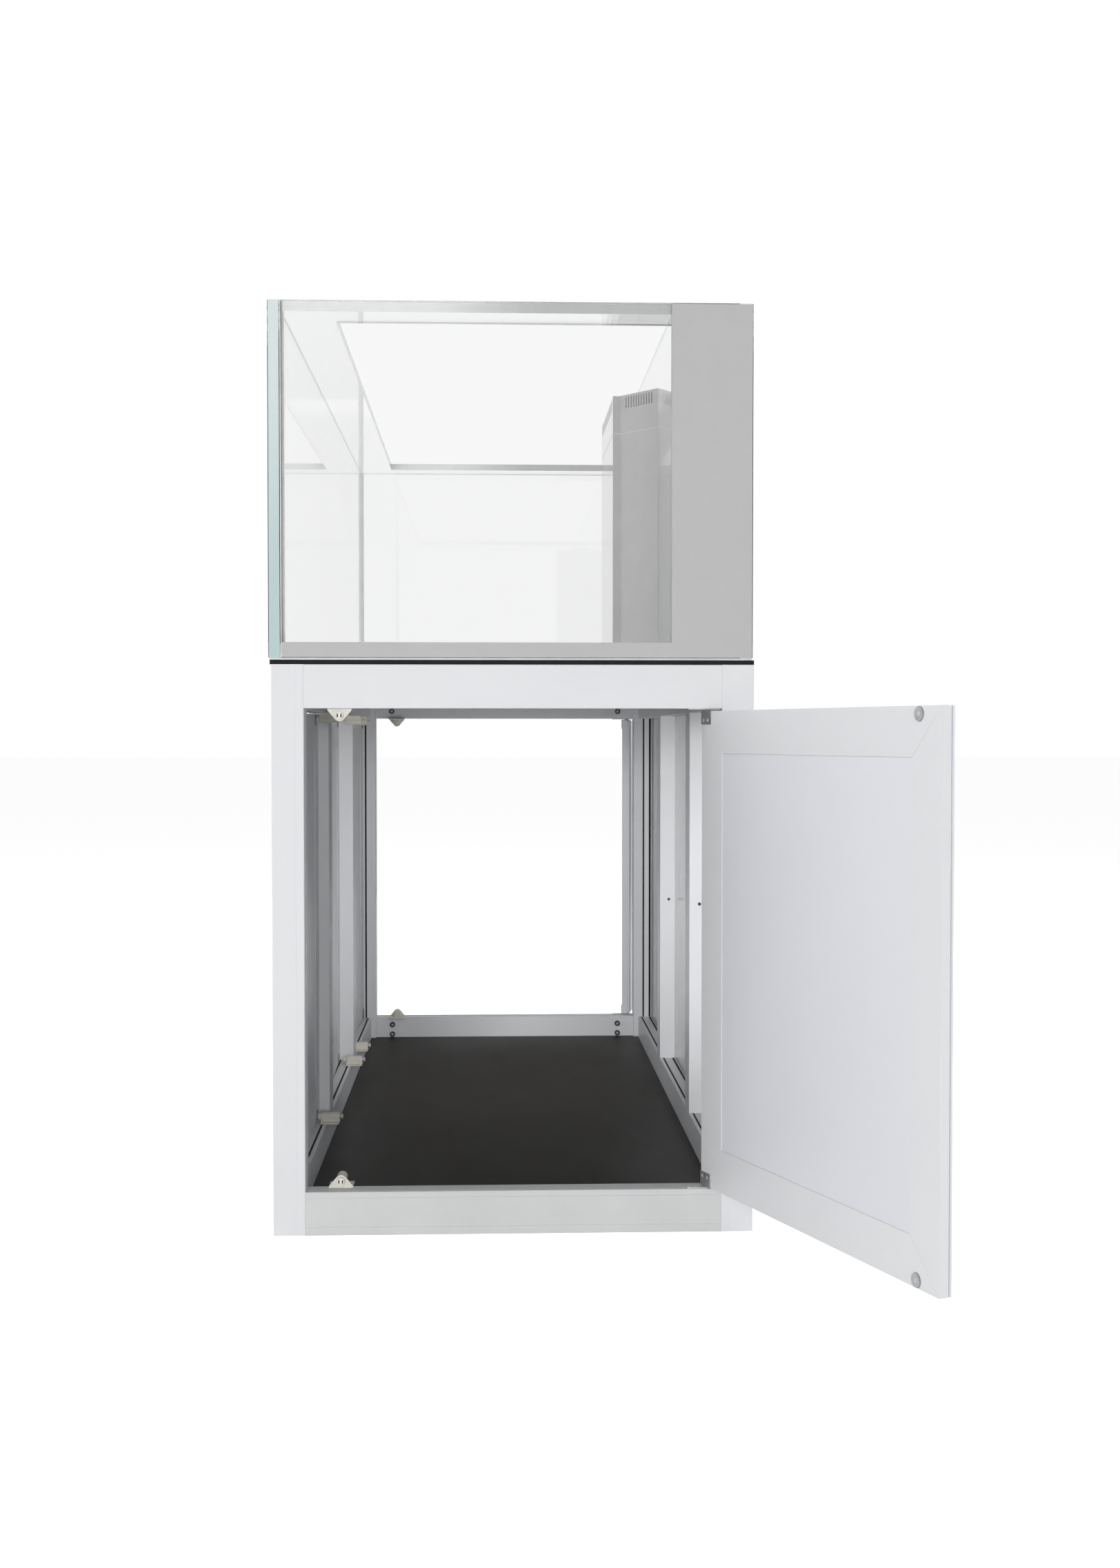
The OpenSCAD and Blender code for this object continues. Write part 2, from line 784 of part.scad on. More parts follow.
// Plan of the weir's walls, moved in by the given amount on the outside
module weir_plan(inset = 0) {
    run = weir_slope;
    rise = weir_out - weir_wall;
    slant = sqrt(run * run + rise * rise);
    shift = (weir_wall - 2) * slant / rise;
    in_x = inset * slant / rise;
    difference() {
        polygon([
            [weir_near - in_x, chamber_front],
            [weir_near - run - inset, weir_front + weir_wall],
            [weir_near - run - inset, weir_front + inset],
            [weir_far + run + inset, weir_front + inset],
            [weir_far + run + inset, weir_front + weir_wall],
            [weir_far + in_x, chamber_front]
        ]);
        polygon([
            [weir_near - shift, chamber_front + 1],
            [weir_near - shift, chamber_front],
            [weir_near - run - shift, weir_front + weir_wall],
            [weir_far + run + shift, weir_front + weir_wall],
            [weir_far + shift, chamber_front],
            [weir_far + shift, chamber_front + 1]
        ]);
    }
}

module weir_box() {
    color([0.6, 0.6, 0.6])
        translate([0, 0, floor_glass])
            linear_extrude(weir_top - comb_h - floor_glass) weir_plan();
}

// Lift-out comb: a reveal at its foot and a row of slots under its rim
module weir_comb() {
    reveal = 1;
    slot_z = weir_top - comb_rim - comb_slot_h;
    front_l = weir_l - 2 * weir_slope;
    front_n = floor((front_l - 2 * weir_wall) / comb_pitch);
    rise = weir_out - weir_wall;
    slant = sqrt(weir_slope * weir_slope + rise * rise);
    slant_n = floor((slant - 2 * weir_wall) / comb_pitch);
    slope_angle = atan2(rise, weir_slope);
    mid = (weir_near + weir_far) / 2;
    color([0.6, 0.6, 0.6])
        difference() {
            union() {
                translate([0, 0, weir_top - comb_h]) linear_extrude(reveal) weir_plan(reveal);
                translate([0, 0, weir_top - comb_h + reveal])
                    linear_extrude(comb_h - reveal) weir_plan();
            }
            for (k = [0:front_n - 1])
                translate([mid + (k - (front_n - 1) / 2) * comb_pitch - comb_slot / 2,
                           weir_front - 1, slot_z])
                    cube([comb_slot, weir_wall + 2, comb_slot_h]);
            for (s = [0, 1])
                translate([mid, 0, 0])
                    mirror([s, 0, 0])
                        translate([weir_l / 2, chamber_front, slot_z])
                            rotate([0, 0, slope_angle])
                                for (k = [0:slant_n - 1])
                                    translate([-slant / 2 + (k - (slant_n - 1) / 2) * comb_pitch
                                               - comb_slot / 2, -1, 0])
                                        cube([comb_slot, weir_wall + 1, comb_slot_h]);
        }
}

// ---- Bulkheads ----

module at_bulkheads(z) {
    for (x = bulkhead_x)
        translate([x, bulkhead_y, z]) children();
}

module bulkhead_bodies() {
    top = floor_glass + gasket_h + flange_h;
    color([0.2, 0.21, 0.22])
        at_bulkheads(0)
            difference() {
                union() {
                    translate([0, 0, bulkhead_low]) cylinder(r = bulkhead_r, h = top - bulkhead_low);
                    translate([0, 0, top - flange_h]) cylinder(r = flange_r, h = flange_h);
                }
                translate([0, 0, bulkhead_low - 1]) cylinder(r = pipe_r, h = top - bulkhead_low + 2);
            }
}

module bulkhead_nuts() {
    color([0.2, 0.21, 0.22])
        at_bulkheads(tank_z - nut_h)
            difference() {
                cylinder(r = nut_r, h = nut_h, $fn = 6);
                translate([0, 0, -1]) cylinder(r = bulkhead_r, h = nut_h + 2);
            }
}

module bulkhead_gaskets() {
    color([0.05, 0.05, 0.05])
        at_bulkheads(floor_glass)
            difference() {
                cylinder(r = flange_r - 2, h = gasket_h);
                translate([0, 0, -1]) cylinder(r = bulkhead_r, h = gasket_h + 2);
            }
}

post_front_near();
post_front_far();
post_back_near();
post_back_far();
end_rail_near_bottom();
end_rail_near_top();
end_rail_far_bottom();
end_rail_far_top();
front_rail_bottom();
front_rail_top();
back_rail_bottom();
back_rail_top();
front_mullions();
back_mullions();
back_panels();
floor_board();
top_board();
levelling_mat();
frame_screws();
groove_seals();
hinge_pivots();
catch_bodies();
bottom_pane();
front_pane();
back_pane();
end_panes();
chamber_wall();
braces();
weir_box();
weir_comb();
silicone_joints();
edge_film();
bulkhead_bodies();
bulkhead_nuts();
bulkhead_gaskets();
near_door_frame();
near_door_panel();
near_door_hardware();
far_door_frame();
far_door_panel();
far_door_hardware();
front_door_a_frame();
front_door_a_panel();
front_door_a_hardware();
front_door_b_frame();
front_door_b_panel();
front_door_b_hardware();
front_door_c_frame();
front_door_c_panel();
front_door_c_hardware();
near_plunger_bottom();
near_plunger_top();
far_plunger_bottom();
far_plunger_top();
plunger_a_bottom();
plunger_a_top();
plunger_b_bottom();
plunger_b_top();
plunger_c_bottom();
plunger_c_top();
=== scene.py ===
"""Looks of the rimless aquarium on its stand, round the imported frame.

Metres, near end at +X, front at -Y, floor at Z = 0.
"""

import math

import bmesh
import bpy
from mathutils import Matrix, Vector

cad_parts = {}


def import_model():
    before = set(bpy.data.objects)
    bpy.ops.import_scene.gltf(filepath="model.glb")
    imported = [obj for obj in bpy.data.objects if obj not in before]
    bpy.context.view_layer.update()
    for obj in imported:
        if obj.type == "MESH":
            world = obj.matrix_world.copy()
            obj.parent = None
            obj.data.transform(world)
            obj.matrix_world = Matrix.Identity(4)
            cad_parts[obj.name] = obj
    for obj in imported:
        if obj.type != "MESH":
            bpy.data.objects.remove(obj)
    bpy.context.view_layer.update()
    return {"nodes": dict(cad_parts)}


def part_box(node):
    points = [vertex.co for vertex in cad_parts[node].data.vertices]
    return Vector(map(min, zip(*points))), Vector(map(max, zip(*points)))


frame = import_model()
nodes = frame["nodes"]

MM = 0.001
FACING = 0.7  # a face looks along an axis if its normal has at least this much of it
SQUARE_ON = 0.9  # the same, for a face that looks straight along it
HALF_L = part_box("post_front_near")[1].x
TANK_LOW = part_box("front_pane")[0].z
TANK_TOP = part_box("front_pane")[1].z

# ---------------------------------------------------------------- materials


class Tree:
    """A material's node tree, with short calls for the nodes used here."""

    def __init__(self, name):
        self.mat = bpy.data.materials.new(name)
        self.mat.use_nodes = True
        self.nt = self.mat.node_tree
        self.nt.nodes.clear()
        self.out = self.add("ShaderNodeOutputMaterial")
        self.place = self.add("ShaderNodeTexCoord").outputs["Object"]

    def add(self, kind, **settings):
        made = self.nt.nodes.new(kind)
        for key, value in settings.items():
            setattr(made, key, value)
        return made

    def link(self, a, b):
        self.nt.links.new(a, b)

    def put(self, socket, value):
        """Sets a socket to a number or a colour, or links it to another node's output."""
        if hasattr(value, "is_output"):
            self.link(value, socket)
        else:
            socket.default_value = value

    def noise(self, scale, detail, stretch=(1, 1, 1), rough=0.55, distort=0.0):
        """Noise with scale features per metre, longer along an axis where stretch is below 1."""
        mapping = self.add("ShaderNodeMapping")
        mapping.inputs["Scale"].default_value = stretch
        self.link(self.place, mapping.inputs["Vector"])
        tex = self.add("ShaderNodeTexNoise")
        self.link(mapping.outputs["Vector"], tex.inputs["Vector"])
        tex.inputs["Scale"].default_value = scale
        tex.inputs["Detail"].default_value = detail
        tex.inputs["Roughness"].default_value = rough
        tex.inputs["Distortion"].default_value = distort
        return tex.outputs["Fac"]

    def axis(self, which):
        split = self.add("ShaderNodeSeparateXYZ")
        self.link(self.place, split.inputs["Vector"])
        return split.outputs[which]

    def span(self, value, low, high, to_low=0.0, to_high=1.0, smooth=False):
        """The range from low to high is mapped to the range from to_low to to_high."""
        made = self.add("ShaderNodeMapRange")
        if smooth:
            made.interpolation_type = "SMOOTHSTEP"
        self.put(made.inputs["Value"], value)
        for key, number in (("From Min", low), ("From Max", high), ("To Min", to_low), ("To Max", to_high)):
            made.inputs[key].default_value = number
        return made.outputs["Result"]

    def math(self, operation, a, b=0.0, c=None):
        made = self.add("ShaderNodeMath", operation=operation)
        self.put(made.inputs[0], a)
        self.put(made.inputs[1], b)
        if c is not None:
            self.put(made.inputs[2], c)
        return made.outputs["Value"]

    def mix(self, factor, a, b):
        made = self.add("ShaderNodeMix", data_type="RGBA")
        self.put(made.inputs["Factor"], factor)
        self.put(made.inputs["A"], a if hasattr(a, "is_output") else (*a, 1.0))
        self.put(made.inputs["B"], b if hasattr(b, "is_output") else (*b, 1.0))
        return made.outputs["Result"]

    def bump(self, height, distance, strength=1.0, under=None):
        made = self.add("ShaderNodeBump")
        made.inputs["Strength"].default_value = strength
        made.inputs["Distance"].default_value = distance
        self.link(height, made.inputs["Height"])
        if under is not None:
            self.link(under, made.inputs["Normal"])
        return made.outputs["Normal"]

    def principled(self, **inputs):
        made = self.add("ShaderNodeBsdfPrincipled")
        for key, value in inputs.items():
            self.put(made.inputs[key.replace("_", " ")], value)
        self.link(made.outputs["BSDF"], self.out.inputs["Surface"])
        return made


def coated(name, light, dark, along, rough=(0.34, 0.46), peel=1.0, cloud=2.2, gloss=0.5):
    """Powder-coated or satin sheet: faint clouds, lengthwise streaks, orange peel."""
    t = Tree(name)
    stretch = {"x": (0.04, 1, 1), "y": (1, 0.04, 1), "z": (1, 1, 0.04), None: (1, 1, 1)}[along]
    clouds = t.noise(cloud, detail=4, rough=0.6)
    streaks = t.noise(240, detail=2, stretch=stretch)
    tone = t.span(clouds, 0.32, 0.68)
    tone = t.math("MULTIPLY_ADD", tone, 0.7, t.math("MULTIPLY", streaks, 0.3))
    colour = t.mix(tone, dark, light)
    finger = t.span(t.noise(14, detail=5, distort=0.6), 0.35, 0.7, *rough)
    grain = t.noise(900, detail=2)
    normal = t.bump(grain, distance=0.12 * MM * peel, strength=0.35)
    normal = t.bump(streaks, distance=0.04 * MM * peel, strength=0.3, under=normal)
    t.principled(
        Base_Color=colour, Roughness=finger, Normal=normal, IOR=1.48, Specular_IOR_Level=gloss
    )
    return t.mat


def metal(name, light, dark, rough, metallic):
    """Plated or blackened steel: patches in its tone and fine scratches."""
    t = Tree(name)
    scratches = t.noise(1800, detail=3)
    patches = t.noise(60, detail=4)
    colour = t.mix(t.span(patches, 0.3, 0.7), dark, light)
    roughness = t.span(scratches, 0.3, 0.7, *rough)
    normal = t.bump(scratches, distance=0.03 * MM, strength=0.5)
    t.principled(Base_Color=colour, Metallic=metallic, Roughness=roughness, Normal=normal)
    return t.mat


def moulded(name, light, dark, rough=(0.38, 0.5), grain=700, sink=0.04 * MM, coat=0.0):
    """Plastic, rubber or film: soft clouds of tone and a fine grain, sink deep."""
    t = Tree(name)
    clouds = t.noise(35, detail=4)
    colour = t.mix(t.span(clouds, 0.3, 0.7), dark, light)
    texture = t.noise(grain, detail=3)
    roughness = t.span(texture, 0.3, 0.7, *rough)
    normal = t.bump(texture, distance=sink, strength=0.5)
    t.principled(Base_Color=colour, Roughness=roughness, Normal=normal, Coat_Weight=coat)
    return t.mat


def board(name):
    """Black laminate of the floor board: fine pores, wiping marks, a brown cast."""
    t = Tree(name)
    pores = t.noise(1500, detail=3)
    wiped = t.noise(5, detail=6, stretch=(0.35, 1, 1), distort=0.8)
    colour = t.mix(t.span(wiped, 0.3, 0.75), (0.018, 0.016, 0.0128), (0.036, 0.032, 0.026))
    roughness = t.span(wiped, 0.25, 0.75, 0.42, 0.55)
    normal = t.bump(pores, distance=0.05 * MM, strength=0.4)
    t.principled(Base_Color=colour, Roughness=roughness, Normal=normal, Specular_IOR_Level=0.25)
    return t.mat


def clear_glass(name, tint):
    """Float glass: lamps shine through it, and a breath of haze roughens it."""
    t = Tree(name)
    haze = t.noise(3, detail=5, distort=0.5)
    roughness = t.span(haze, 0.45, 0.8, 0.0, 0.03)
    glass = t.principled(
        Base_Color=(*tint, 1.0), Transmission_Weight=1.0, IOR=1.5, Roughness=roughness
    )
    clear = t.add("ShaderNodeBsdfTransparent")
    clear.inputs["Color"].default_value = (*tint, 1.0)
    mixer = t.add("ShaderNodeMixShader")
    path = t.add("ShaderNodeLightPath")
    lit = t.math("MAXIMUM", path.outputs["Is Shadow Ray"], path.outputs["Is Diffuse Ray"])
    t.link(lit, mixer.inputs["Fac"])
    t.link(glass.outputs["BSDF"], mixer.inputs[1])
    t.link(clear.outputs["BSDF"], mixer.inputs[2])
    t.link(mixer.outputs["Shader"], t.out.inputs["Surface"])
    return t.mat


def edge_glass(name, light, deep, axis, low, high, clear=0.0):
    """Polished edge of a pane: its tone runs from deep to light along one axis, painted light and shade."""
    t = Tree(name)
    height = t.span(t.axis(axis), low, high, smooth=True)
    veins = t.noise(60, detail=4, stretch=(1, 1, 0.05))
    tone = t.math("MULTIPLY_ADD", height, 0.8, t.math("MULTIPLY", veins, 0.2))
    colour = t.mix(tone, deep, light)
    roughness = t.span(veins, 0.3, 0.7, 0.12, 0.26)
    t.principled(
        Base_Color=colour, Roughness=roughness, IOR=1.5, Transmission_Weight=clear, Specular_IOR_Level=0.5
    )
    return t.mat


WHITE = ((0.80, 0.81, 0.825), (0.745, 0.755, 0.775))
COAT = {a: coated(f"powder_coat_{a}", *WHITE, a) for a in ("x", "y", "z")}
# The door frames take a darker copy of the white coat: painted shade
SHADED_DOOR_COAT = coated("shaded_door_coat", (0.775, 0.785, 0.80), (0.725, 0.735, 0.755), None)
# A darker copy of the coat for the near bottom rail: painted shade, with scuff marks in its smudges
SCUFFED_AND_SHADED = coated("scuffed_and_shaded_coat", (0.70, 0.71, 0.71), (0.61, 0.615, 0.615), "y", (0.38, 0.6), 1.2, 5.0)
LAMINATE = coated("door_laminate", (0.775, 0.785, 0.82), (0.73, 0.742, 0.785), None, (0.3, 0.42), 0.6, 1.6)
SHEET = coated("back_sheet", (0.74, 0.75, 0.76), (0.70, 0.71, 0.72), None, (0.1, 0.18), 0.15, 1.5, 0.22)
BOARD = board("floor_laminate")
BLACK = moulded("black_board", (0.012, 0.012, 0.012), (0.008, 0.008, 0.008), (0.3, 0.4), 900)
MAT = moulded("levelling_foam", (0.74, 0.75, 0.76), (0.66, 0.67, 0.68), (0.7, 0.85), 1100, 0.2 * MM)
SEAL = moulded("groove_rubber", (0.016, 0.016, 0.016), (0.010, 0.010, 0.010), (0.6, 0.8), 900)
# Pale zinc also paints a glint on screw heads and socket floors; zinc plate also paints shade on the sides of
# screws and discs
ZINC_AND_SIDE_SHADE = metal("zinc_plate_and_side_shade", (0.36, 0.365, 0.37), (0.26, 0.265, 0.27), (0.3, 0.45), 0.45)
GLINT_AND_PALE_ZINC = metal("glint_and_pale_zinc", (0.82, 0.82, 0.82), (0.66, 0.66, 0.66), (0.2, 0.35), 0.35)
STRIKE = metal("nickel_disc", (0.64, 0.645, 0.65), (0.52, 0.525, 0.53), (0.2, 0.35), 0.45)
BOLT = metal("black_oxide", (0.13, 0.13, 0.135), (0.06, 0.06, 0.062), (0.25, 0.4), 0.5)
IVORY = moulded("ivory_body", (0.78, 0.76, 0.68), (0.70, 0.68, 0.60), (0.32, 0.44), 600, 0.03 * MM, 0.15)
PLUNGER = moulded("ivory_plunger", (0.84, 0.82, 0.75), (0.78, 0.76, 0.69), (0.28, 0.38), 600, 0.03 * MM, 0.2)
FILM = moulded("edge_film", (0.52, 0.52, 0.52), (0.505, 0.505, 0.505), (0.5, 0.6), 500, 0.02 * MM)
SILICONE = moulded("silicone", (0.76, 0.76, 0.76), (0.68, 0.68, 0.68), (0.35, 0.5), 200, 0.1 * MM)
ACRYLIC = moulded("weir_acrylic", (0.46, 0.46, 0.455), (0.43, 0.43, 0.425), (0.05, 0.09), 300, 0.01 * MM, 0.3)
COMB_GLINT = moulded("comb_foot_glint", (0.72, 0.80, 0.79), (0.66, 0.75, 0.74), (0.2, 0.3), 300, 0.02 * MM)
POLE = metal("magnet_pole", (0.10, 0.10, 0.105), (0.06, 0.06, 0.062), (0.35, 0.5), 1.0)
PIPEWORK = moulded("grey_pvc", (0.055, 0.057, 0.06), (0.04, 0.042, 0.045), (0.35, 0.5), 500)
GLASS = clear_glass("float_glass", (0.96, 0.963, 0.962))
# Pane edges: the glass's own green, with painted shade darker towards the bottom
EDGE = edge_glass("pane_edge", (0.74, 0.805, 0.805), (0.46, 0.60, 0.61), "Z", TANK_LOW, TANK_TOP)
# Pale edges of the braces and the end panes' tops, lighter towards the near end: painted light
BRACE_SIDE = edge_glass("brace_side", (0.93, 0.965, 0.96), (0.87, 0.92, 0.915), "X", -HALF_L, HALF_L, 0.6)
BRACE_GLARE = (-0.15, 0.06)  # where, along Y, the painted glare on the end edge of a brace turns from pale to grey
BRACE_EDGE = edge_glass("brace_edge", (0.55, 0.55, 0.55), (0.94, 0.945, 0.945), "Y", *BRACE_GLARE, 0.1)

# ---------------------------------------------------------------- CAD nodes


def dress(name, *materials, choose=None):
    """Gives a CAD node its materials; choose(normal, centre) says which one a face takes."""
    mesh = nodes[name].data
    mesh.materials.clear()
    for m in materials:
        mesh.materials.append(m)
    for face in mesh.polygons:
        face.material_index = choose(face.normal, face.center) if choose else 0


def dress_by_size(name, *bands):
    """Each separate solid of a node takes the first band that it fits in: reach, face and side materials; a
    darker side material is painted shade on rims and slot walls.
    """
    mesh = nodes[name].data
    group = list(range(len(mesh.vertices)))

    def root(i):
        while group[i] != i:
            group[i] = group[group[i]]
            i = group[i]
        return i

    for edge in mesh.edges:
        first, second = (root(i) for i in edge.vertices)
        group[first] = second
    points = {}
    for v in mesh.vertices:
        points.setdefault(root(v.index), []).append(v.co)
    band_of = {}
    for key, found in points.items():
        middle = sum(found, Vector()) / len(found)
        reach = max((p - middle).length for p in found)
        band_of[key] = next(i for i, band in enumerate(bands) if reach < band[0])
    widest = {}
    for face in mesh.polygons:
        key = root(face.vertices[0])
        if key not in widest or face.area > widest[key].area:
            widest[key] = face
    mesh.materials.clear()
    for reach, face_material, side_material in bands:
        mesh.materials.append(face_material)
        mesh.materials.append(side_material)
    for face in mesh.polygons:
        key = root(face.vertices[0])
        on_side = abs(face.normal.dot(widest[key].normal)) < SQUARE_ON
        face.material_index = 2 * band_of[key] + on_side


def soften(name, width):
    """Small rounded edges that catch the light."""
    bevel = nodes[name].modifiers.new("edges", "BEVEL")
    bevel.width = width
    bevel.segments = 2
    bevel.limit_method = "ANGLE"
    bevel.angle_limit = math.radians(40)
    bevel.harden_normals = False


ALONG = {
    "post_front_near": "z", "post_front_far": "z", "post_back_near": "z", "post_back_far": "z",
    "end_rail_near_bottom": "y", "end_rail_near_top": "y",
    "end_rail_far_bottom": "y", "end_rail_far_top": "y",
    "front_rail_bottom": "x", "front_rail_top": "x", "back_rail_bottom": "x", "back_rail_top": "x",
    "front_mullions": "z", "back_mullions": "z",
}
for name, along in ALONG.items():
    dress(name, COAT[along])
# Painted shade on the near bottom rail, with scuff marks
dress("end_rail_near_bottom", SCUFFED_AND_SHADED)
# Greatest distance from the middle of a solid to its points: a screw, a strike disc, anything else
SCREW, DISC, REST = 5 * MM, 13 * MM, 1.0
DOORS = ("near_door", "far_door", "front_door_a", "front_door_b", "front_door_c")
for door in DOORS:
    dress(door + "_frame", SHADED_DOOR_COAT)
    dress(door + "_panel", LAMINATE)
    # Screw heads take a painted glint, and the sides of screws and strike discs painted shade
    dress_by_size(door + "_hardware", (SCREW, GLINT_AND_PALE_ZINC, ZINC_AND_SIDE_SHADE), (DISC, STRIKE, ZINC_AND_SIDE_SHADE), (REST, ZINC_AND_SIDE_SHADE, ZINC_AND_SIDE_SHADE))
# The hinge screws' slot walls and rims take painted shade
dress_by_size("hinge_pivots", (SCREW, STRIKE, ZINC_AND_SIDE_SHADE), (REST, GLINT_AND_PALE_ZINC, GLINT_AND_PALE_ZINC))
PLAIN = {
    "back_panels": SHEET, "floor_board": BOARD, "top_board": BLACK, "levelling_mat": MAT,
    "groove_seals": SEAL, "catch_bodies": IVORY,
    "weir_box": ACRYLIC, "silicone_joints": SILICONE, "edge_film": FILM,
    "bulkhead_bodies": PIPEWORK, "bulkhead_nuts": PIPEWORK, "bulkhead_gaskets": SEAL,
}
for name, m in PLAIN.items():
    dress(name, m)

POLE_SUNK = (0.1 * MM, 2.5 * MM)  # how far under the tip a pole's face may lie
POLE_REACH = 4.4 * MM  # and how far from the plunger's axis


def dress_plunger(name, axis, way):
    """The two magnet poles at the bottom of the slots in a plunger's tip are dark steel."""
    low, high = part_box(name)
    tip = high[axis] if way > 0 else low[axis]
    middle = (low + high) / 2

    def choose(normal, centre):
        across = centre - middle
        across[axis] = 0
        sunk = abs(centre[axis] - tip)
        return 1 if POLE_SUNK[0] < sunk < POLE_SUNK[1] and across.length < POLE_REACH else 0

    dress(name, PLUNGER, POLE, choose=choose)


for name in nodes:
    if "plunger" in name:
        along, way = (1, -1) if name.startswith("plunger") else (0, 1 if name.startswith("near") else -1)
        dress_plunger(name, along, way)

# The floor of a cap screw's socket takes a painted glint
SOCKET_IN = 42 * MM  # from the stand's end
socket_floor = HALF_L - SOCKET_IN
dress(
    "frame_screws", BOLT, GLINT_AND_PALE_ZINC,
    choose=lambda n, c: 1 if abs(n.x) > SQUARE_ON and abs(abs(c.x) - socket_floor) < 0.4 * MM else 0,
)
# The foot of the comb takes a light line, a painted highlight
COMB_GLINT_H = 0.9 * MM
comb_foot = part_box("weir_comb")[0].z
dress("weir_comb", ACRYLIC, COMB_GLINT, choose=lambda n, c: 1 if c.z < comb_foot + COMB_GLINT_H else 0)

# The wide faces of a pane are clear, and its edges show the glass's colour with painted shade, darker towards
# the bottom
FACE_AXIS = {"front_pane": 1, "back_pane": 1, "chamber_wall": 1, "bottom_pane": 2}
for name, axis in FACE_AXIS.items():
    dress(name, GLASS, EDGE, choose=lambda n, c, axis=axis: 0 if abs(n[axis]) > FACING else 1)
# The top faces of the end panes take the pale brace side: painted light
dress("end_panes", GLASS, BRACE_SIDE, choose=lambda n, c: 1 if n.z > FACING else 0)


def brace_face(normal, centre):
    """Wide faces are clear; the long and the short edges differ in tone, painted light and glare."""
    if abs(normal.z) > FACING:
        return 0
    return 1 if abs(normal.y) > FACING else 2


dress("braces", GLASS, BRACE_SIDE, BRACE_EDGE, choose=brace_face)

SOFT = {"_frame": 0.25 * MM, "_panel": 0.4 * MM, "_hardware": 0.2 * MM}
for door in DOORS:
    for part, width in SOFT.items():
        soften(door + part, width)
for name, width in (("catch_bodies", 0.25 * MM), ("hinge_pivots", 0.15 * MM), ("weir_box", 0.6 * MM)):
    soften(name, width)

# ---------------------------------------------------------------- stage and light

# Brightness of the surroundings: the floor's own glow, and the sky as it lights matt faces, as glossy
# faces mirror it and as it is seen through glass
FLOOR_GLOW = 0.8
SKY = 0.22
SKY_MIRRORED = 0.2
SKY_THROUGH = 1.0


def floor():
    """A plain pale floor, so wide that its edge is lost in the background."""
    half = 60.0
    mesh = bpy.data.meshes.new("floor")
    bm = bmesh.new()
    bmesh.ops.create_grid(bm, x_segments=4, y_segments=4, size=half)
    bm.to_mesh(mesh)
    bm.free()
    made = bpy.data.objects.new("floor", mesh)
    bpy.context.scene.collection.objects.link(made)
    t = Tree("studio_floor")
    grain = t.noise(3, detail=3)
    matt = t.principled(
        Base_Color=t.mix(grain, (0.78, 0.78, 0.78), (0.8, 0.8, 0.8)), Roughness=0.9, Specular_IOR_Level=0.1
    )
    glow = t.add("ShaderNodeEmission")
    seen = t.add("ShaderNodeLightPath")
    entered = t.math("MINIMUM", seen.outputs["Transmission Depth"], 1.0)
    either = t.math("MAXIMUM", seen.outputs["Is Camera Ray"], entered)
    straight = t.math("SUBTRACT", either, seen.outputs["Diffuse Depth"])
    straight.node.use_clamp = True
    t.link(t.math("MULTIPLY", straight, FLOOR_GLOW), glow.inputs["Strength"])
    both = t.add("ShaderNodeAddShader")
    t.link(matt.outputs["BSDF"], both.inputs[0])
    t.link(glow.outputs["Emission"], both.inputs[1])
    t.link(both.outputs["Shader"], t.out.inputs["Surface"])
    mesh.materials.append(t.mat)


def aim(made, at, look_at):
    """Puts an object in the scene with its own -Z axis towards look_at."""
    bpy.context.scene.collection.objects.link(made)
    made.location = at
    made.rotation_euler = (Vector(look_at) - Vector(at)).to_track_quat("-Z", "Y").to_euler()


def lamp(name, at, look_at, size, power, mirrored, spread):
    """Area lamp that is only seen by what it lights, and in gloss if mirrored."""
    light = bpy.data.lights.new(name, "AREA")
    light.spread = math.radians(spread)
    light.shape = "RECTANGLE"
    light.size, light.size_y = size
    light.energy = power
    made = bpy.data.objects.new(name, light)
    made.visible_glossy = mirrored
    made.visible_camera = False
    made.visible_transmission = False
    aim(made, at, look_at)


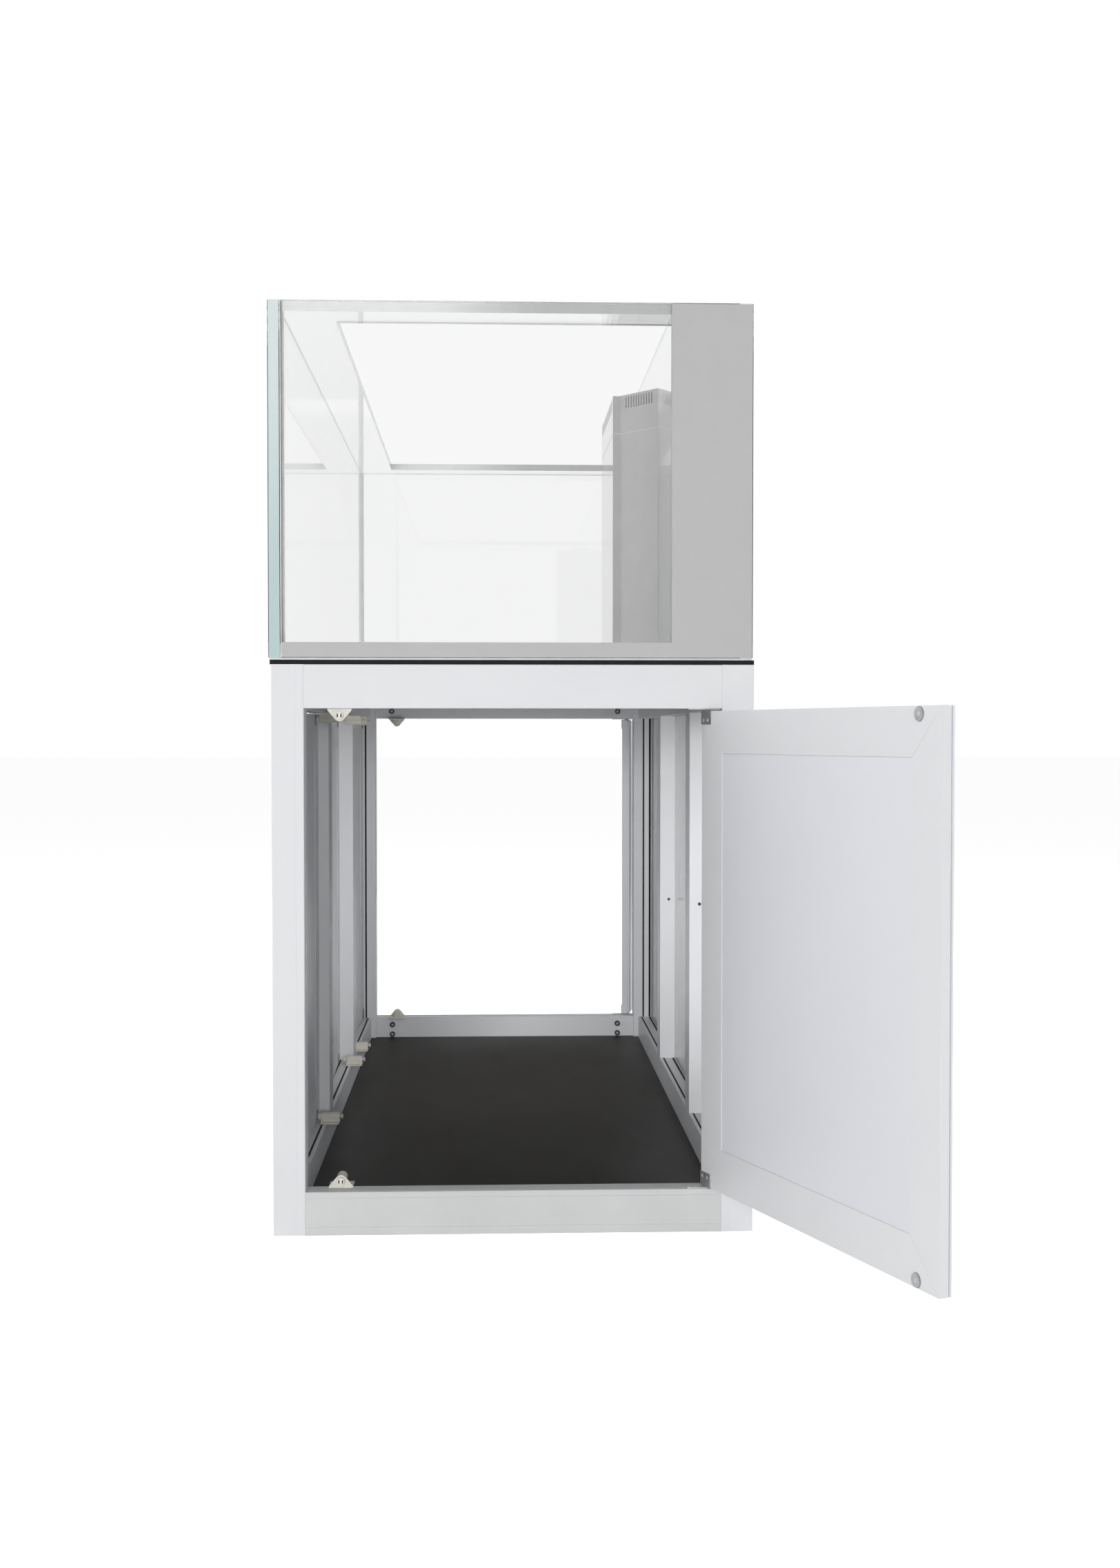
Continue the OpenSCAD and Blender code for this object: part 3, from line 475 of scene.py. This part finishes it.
def world():
    """White studio: pure white behind the object, and an even, dimmer light on its faces."""
    w = bpy.data.worlds.new("studio")
    bpy.context.scene.world = w
    w.use_nodes = True
    nt = w.node_tree
    nt.nodes.clear()
    seen = nt.nodes.new("ShaderNodeLightPath")

    def shade(strength):
        made = nt.nodes.new("ShaderNodeBackground")
        made.inputs["Color"].default_value = (1, 1, 1, 1)
        made.inputs["Strength"].default_value = strength
        return made.outputs["Background"]

    def choose(factor, off, on):
        made = nt.nodes.new("ShaderNodeMixShader")
        nt.links.new(factor, made.inputs["Fac"])
        nt.links.new(off, made.inputs[1])
        nt.links.new(on, made.inputs[2])
        return made.outputs["Shader"]

    entered = nt.nodes.new("ShaderNodeMath")
    entered.operation = "MINIMUM"
    entered.inputs[1].default_value = 1.0
    through = nt.nodes.new("ShaderNodeMath")
    through.operation = "SUBTRACT"
    through.use_clamp = True
    nt.links.new(seen.outputs["Transmission Depth"], entered.inputs[0])
    nt.links.new(entered.outputs["Value"], through.inputs[0])
    nt.links.new(seen.outputs["Diffuse Depth"], through.inputs[1])
    made = choose(seen.outputs["Is Glossy Ray"], shade(SKY), shade(SKY_MIRRORED))
    made = choose(through.outputs["Value"], made, shade(SKY_THROUGH))
    made = choose(seen.outputs["Is Camera Ray"], made, shade(1.0))
    out = nt.nodes.new("ShaderNodeOutputWorld")
    nt.links.new(made, out.inputs["Surface"])


floor()
world()
# Name, place, point it looks at, width and height, power in watts, seen in gloss, spread in degrees
LAMPS = (
    ("key", (6.5, -1.05, 1.0), (0, 0, 0.6), (0.8, 0.6), 131, False, 180),
    ("fill", (6.5, 0.6, 1.0), (0, 0, 0.6), (0.8, 0.6), 61, False, 180),
    ("door_side", (1.0, -3.2, 2.2), (1.2, 0.4, 0.5), (1.2, 1.2), 13, False, 180),
    ("inside", (0.3, 0.05, 0.45), (-0.5, -0.05, 0.45), (0.4, 0.6), 1.3, False, 120),
    ("inside_back", (0.84, 0.05, 0.45), (0.33, 0.36, 0.45), (0.2, 0.6), 0.3, False, 50),
    ("front_side", (-0.2, -4.5, 2.2), (0, 0, 0.8), (3.0, 2.5), 80, False, 180),
    ("back_side", (-0.2, 4.5, 2.2), (0, 0, 0.8), (3.0, 2.5), 90, False, 180),
    ("far_side", (-4.8, 0, 2.2), (0, 0, 0.8), (2.5, 2.5), 60, False, 180),
    ("overhead", (0, 0, 4.2), (0, 0, 0), (4.0, 3.0), 30, True, 180),
)
for row in LAMPS:
    lamp(*row)

# ---------------------------------------------------------------- camera

# In front of the near end, a little below the doors' top edges
CAMERA_AT = (3.7299, -0.03575, 0.7805)
YAW = math.radians(2.18)  # from -X towards the back
DIP = math.radians(1.54)  # below the horizon
LENS = 41.77  # mm, on a 36 mm wide sensor
lens = bpy.data.cameras.new("camera")
lens.lens = LENS
lens.sensor_width = 36.0
camera = bpy.data.objects.new("camera", lens)
bpy.context.scene.collection.objects.link(camera)
camera.location = CAMERA_AT
forward = Vector((-math.cos(YAW) * math.cos(DIP), math.sin(YAW) * math.cos(DIP), -math.sin(DIP)))
camera.rotation_euler = forward.to_track_quat("-Z", "Y").to_euler()
bpy.context.scene.camera = camera
bpy.context.scene.view_settings.view_transform = "Standard"
